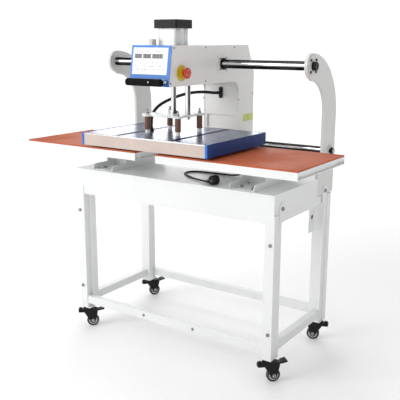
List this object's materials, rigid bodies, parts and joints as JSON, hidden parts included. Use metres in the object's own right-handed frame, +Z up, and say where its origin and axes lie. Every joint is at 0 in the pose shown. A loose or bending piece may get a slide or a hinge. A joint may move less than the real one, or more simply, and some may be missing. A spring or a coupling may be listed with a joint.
{
  "type": "heat press",
  "caption": "Air-driven twin-table heat press on a wheeled steel frame; its padded tables share a sliding head and one heating platen.",
  "frame": {"origin": "on the floor, under the middle of the machine's bounding box", "axes": "+Z up, +X to the right of a person standing at the front, +Y from the front to the back"},
  "size_m": [1.3, 0.7155, 1.387],
  "materials": {
    "white_paint": "semi-gloss powder coat",
    "cream_paint": "semi-gloss powder coat",
    "bolt_steel": "zinc plated",
    "dark_flange": "satin black",
    "flange_steel": "turned",
    "rail_chrome": "ground and polished",
    "silicone_pad": "fine-textured orange-brown silicone sponge",
    "black_rubber": "matt",
    "black_plastic": "moulded",
    "aluminium_satin": "satin anodised",
    "dark_casting": "satin black paint",
    "bronze": "sintered",
    "circuit_plastic": "board with components",
    "blue_plastic": "semi-gloss blue",
    "keypad_film": "satin film",
    "grip_rubber": "soft foam grip",
    "yellow_plastic": "semi-gloss",
    "red_plastic": "gloss",
    "start_plastic": "gloss",
    "brown_laminate": "satin phenolic laminate",
    "cast_aluminium": "as cast",
    "mirror_steel": "bright stainless top",
    "blue_paint": "semi-gloss blue",
    "element_steel": "oxidised",
    "caster_black": "black",
    "pedal_black": "moulded nylon",
    "caster_tread": "tread"
  },
  "bodies": {
    "stand": {"deck_tray": "white_paint", "frame_rails_upper": "white_paint", "frame_rails_lower": "white_paint", "frame_bolts": "bolt_steel", "horn_left": "cream_paint", "horn_right": "cream_paint", "rail_mounts": "dark_flange", "upper_rail": "rail_chrome", "rear_rail": "rail_chrome", "table_left": "white_paint", "table_right": "white_paint", "pad_left": "silicone_pad", "pad_right": "silicone_pad", "table_supports": "white_paint", "lead_gland": "black_rubber", "lead_cord": "black_rubber", "lead_plug": "black_plastic", "leg_front_left": "white_paint", "leg_front_right": "white_paint", "leg_back_left": "white_paint", "leg_back_right": "white_paint"},
    "head": {"head_side_left": "cream_paint", "head_side_right": "cream_paint", "head_cover": "cream_paint", "column_cover": "cream_paint", "slide_bushes": "flange_steel", "cylinder_barrel": "aluminium_satin", "cylinder_caps": "dark_casting", "exhaust_silencer": "bronze", "control_board": "circuit_plastic", "panel_frame": "blue_plastic", "panel_overlay": "keypad_film", "handle_bar": "grip_rubber", "stop_ring": "yellow_plastic", "hose_gland": "black_plastic", "heater_hose": "black_rubber"},
    "ram": {"piston_rod": "rail_chrome", "guide_rod": "rail_chrome", "press_plate": "white_paint", "spacers": "brown_laminate", "spacer_studs": "bolt_steel", "heat_block": "cast_aluminium", "platen_hood": "mirror_steel", "platen_ends": "blue_paint", "heating_element": "element_steel", "platen_gland": "black_plastic"},
    "stop": {"stop_button": "red_plastic"},
    "start": {"start_button": "start_plastic"},
    "fork_front_left": {"caster_fork_front_left": "caster_black"},
    "wheel_front_left": {"caster_wheel_front_left": "caster_tread"},
    "pedal_front_left": {"caster_pedal_front_left": "pedal_black"},
    "fork_front_right": {"caster_fork_front_right": "caster_black"},
    "wheel_front_right": {"caster_wheel_front_right": "caster_tread"},
    "pedal_front_right": {"caster_pedal_front_right": "pedal_black"},
    "fork_back_left": {"caster_fork_back_left": "caster_black"},
    "wheel_back_left": {"caster_wheel_back_left": "caster_tread"},
    "pedal_back_left": {"caster_pedal_back_left": "pedal_black"},
    "fork_back_right": {"caster_fork_back_right": "caster_black"},
    "wheel_back_right": {"caster_wheel_back_right": "caster_tread"},
    "pedal_back_right": {"caster_pedal_back_right": "pedal_black"}
  },
  "joints": [
    {"name": "head_slide", "type": "slide", "parent": "stand", "child": "head", "axis": [1, 0, 0], "range_m": [-0.346, 0.354]},
    {"name": "press_ram", "type": "slide", "parent": "head", "child": "ram", "axis": [0, 0, 1], "range_m": [-0.0087, 0.05], "deforming": ["heater_hose"]},
    {"name": "emergency_stop", "type": "slide", "parent": "head", "child": "stop", "axis": [-1, 0, 0], "range_m": [0, 0.004], "stiffness_N_per_m": 900},
    {"name": "start_press", "type": "slide", "parent": "head", "child": "start", "axis": [0, 0.9889, -0.1487], "range_m": [0, 0.002], "stiffness_N_per_m": 600},
    {"name": "swivel_front_left", "type": "hinge", "parent": "stand", "child": "fork_front_left", "pos_m": [-0.478, -0.17775, 0.09], "axis": [0, 0, 1], "continuous": true},
    {"name": "roll_front_left", "type": "hinge", "parent": "fork_front_left", "child": "wheel_front_left", "pos_m": [-0.46115, -0.16361, 0.028], "axis": [-0.6428, 0.766, 0], "continuous": true},
    {"name": "brake_front_left", "type": "hinge", "parent": "fork_front_left", "child": "pedal_front_left", "pos_m": [-0.44889, -0.15332, 0.075], "axis": [-0.6428, 0.766, 0], "range_deg": [0, 12]},
    {"name": "swivel_front_right", "type": "hinge", "parent": "stand", "child": "fork_front_right", "pos_m": [0.478, -0.17775, 0.09], "axis": [0, 0, 1], "continuous": true},
    {"name": "roll_front_right", "type": "hinge", "parent": "fork_front_right", "child": "wheel_front_right", "pos_m": [0.49272, -0.1614, 0.028], "axis": [-0.7431, 0.6691, 0], "continuous": true},
    {"name": "brake_front_right", "type": "hinge", "parent": "fork_front_right", "child": "pedal_front_right", "pos_m": [0.50343, -0.14951, 0.075], "axis": [-0.7431, 0.6691, 0], "range_deg": [0, 12]},
    {"name": "swivel_back_left", "type": "hinge", "parent": "stand", "child": "fork_back_left", "pos_m": [-0.478, 0.29225, 0.09], "axis": [0, 0, 1], "continuous": true},
    {"name": "roll_back_left", "type": "hinge", "parent": "fork_back_left", "child": "wheel_back_left", "pos_m": [-0.46634, 0.31091, 0.028], "axis": [-0.848, 0.5299, 0], "continuous": true},
    {"name": "brake_back_left", "type": "hinge", "parent": "fork_back_left", "child": "pedal_back_left", "pos_m": [-0.45786, 0.32448, 0.075], "axis": [-0.848, 0.5299, 0], "range_deg": [0, 12]},
    {"name": "swivel_back_right", "type": "hinge", "parent": "stand", "child": "fork_back_right", "pos_m": [0.478, 0.29225, 0.09], "axis": [0, 0, 1], "continuous": true},
    {"name": "roll_back_right", "type": "hinge", "parent": "fork_back_right", "child": "wheel_back_right", "pos_m": [0.45708, 0.28545, 0.028], "axis": [0.309, -0.9511, 0], "continuous": true},
    {"name": "brake_back_right", "type": "hinge", "parent": "fork_back_right", "child": "pedal_back_right", "pos_m": [0.44186, 0.28051, 0.075], "axis": [0.309, -0.9511, 0], "range_deg": [0, 12]}
  ]
}
